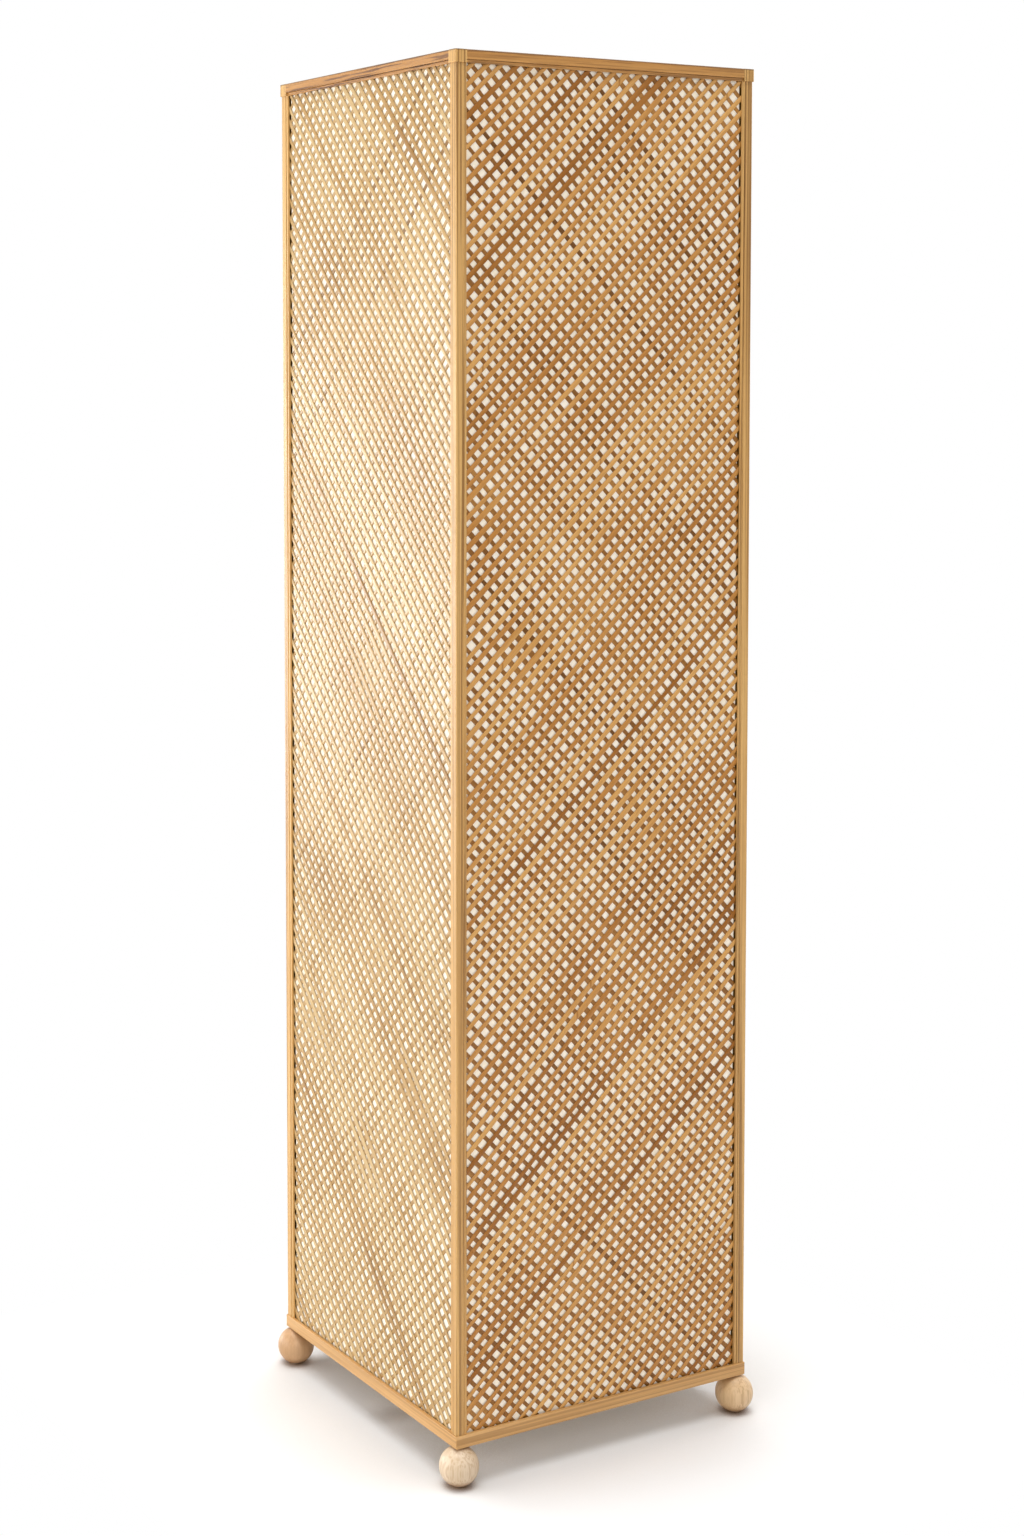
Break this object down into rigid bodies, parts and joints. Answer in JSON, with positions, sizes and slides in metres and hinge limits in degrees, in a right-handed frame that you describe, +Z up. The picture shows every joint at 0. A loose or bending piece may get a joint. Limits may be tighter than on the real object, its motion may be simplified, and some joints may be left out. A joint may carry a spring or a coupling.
{
  "type": "floor lamp",
  "caption": "Tall square floor lamp: a pale wood frame on ball feet with crossed bamboo slats over a paper liner on every side, open above and below, and a screw-cap bulb inside.",
  "frame": {"origin": "on the floor under the middle of the lamp", "axes": "+Z up, -Y out of the front side, +X to the right seen from the front"},
  "size_m": [0.3262, 0.3262, 1.2],
  "materials": {
    "frame_wood": "pale oiled wood with fine straight grain",
    "ball_wood": "pale beech, turned and sanded",
    "inner_wood": "plain sanded wood",
    "bamboo": "split bamboo, colour varies from slat to slat",
    "paper": "white fibrous paper, translucent",
    "felt": "pressed felt",
    "steel": "zinc plated",
    "brass": "bright brass",
    "holder_plastic": "white moulded plastic",
    "ceramic": "white glazed ceramic",
    "bulb_black_glass": "black glass",
    "bulb_glass": "opal glass"
  },
  "bodies": {
    "lamp": {"back_bead_left": "frame_wood", "back_bead_right": "frame_wood", "back_bead_top": "frame_wood", "back_inner_slats": "bamboo", "back_liner": "paper", "back_outer_slats": "bamboo", "bar_screws": "steel", "bottom_rail_back": "frame_wood", "bottom_rail_front": "frame_wood", "bottom_rail_left": "frame_wood", "bottom_rail_right": "frame_wood", "cord_inlet_nut": "steel", "cord_inlet_tube": "steel", "corner_block_back_left": "frame_wood", "corner_block_back_right": "frame_wood", "corner_block_front_left": "frame_wood", "corner_block_front_right": "frame_wood", "foot_back_left": "ball_wood", "foot_back_right": "ball_wood", "foot_front_left": "ball_wood", "foot_front_right": "ball_wood", "foot_pads": "felt", "foot_screws": "steel", "front_bead_left": "frame_wood", "front_bead_right": "frame_wood", "front_bead_top": "frame_wood", "front_inner_slats": "bamboo", "front_liner": "paper", "front_outer_slats": "bamboo", "lampholder_bar": "inner_wood", "lampholder_cap": "holder_plastic", "lampholder_centre_contact": "brass", "lampholder_insert": "ceramic", "lampholder_screw_shell": "brass", "lampholder_sleeve": "holder_plastic", "left_bead_left": "frame_wood", "left_bead_right": "frame_wood", "left_bead_top": "frame_wood", "left_inner_slats": "bamboo", "left_liner": "paper", "left_outer_slats": "bamboo", "post_back_left": "frame_wood", "post_back_right": "frame_wood", "post_front_left": "frame_wood", "post_front_right": "frame_wood", "right_bead_left": "frame_wood", "right_bead_right": "frame_wood", "right_bead_top": "frame_wood", "right_inner_slats": "bamboo", "right_liner": "paper", "right_outer_slats": "bamboo", "ring_dowels": "inner_wood", "top_rail_back": "frame_wood", "top_rail_front": "frame_wood", "top_rail_left": "frame_wood", "top_rail_right": "frame_wood"},
    "bulb": {"bulb_end_contact": "brass", "bulb_globe": "bulb_glass", "bulb_insulator": "bulb_black_glass", "bulb_screw_cap": "steel"}
  },
  "joints": [
    {"name": "bulb_screw", "type": "hinge", "parent": "lamp", "child": "bulb", "pos_m": [0, 0, 0.1], "axis": [0, 0, 1], "range_deg": [0, 900]}
  ]
}
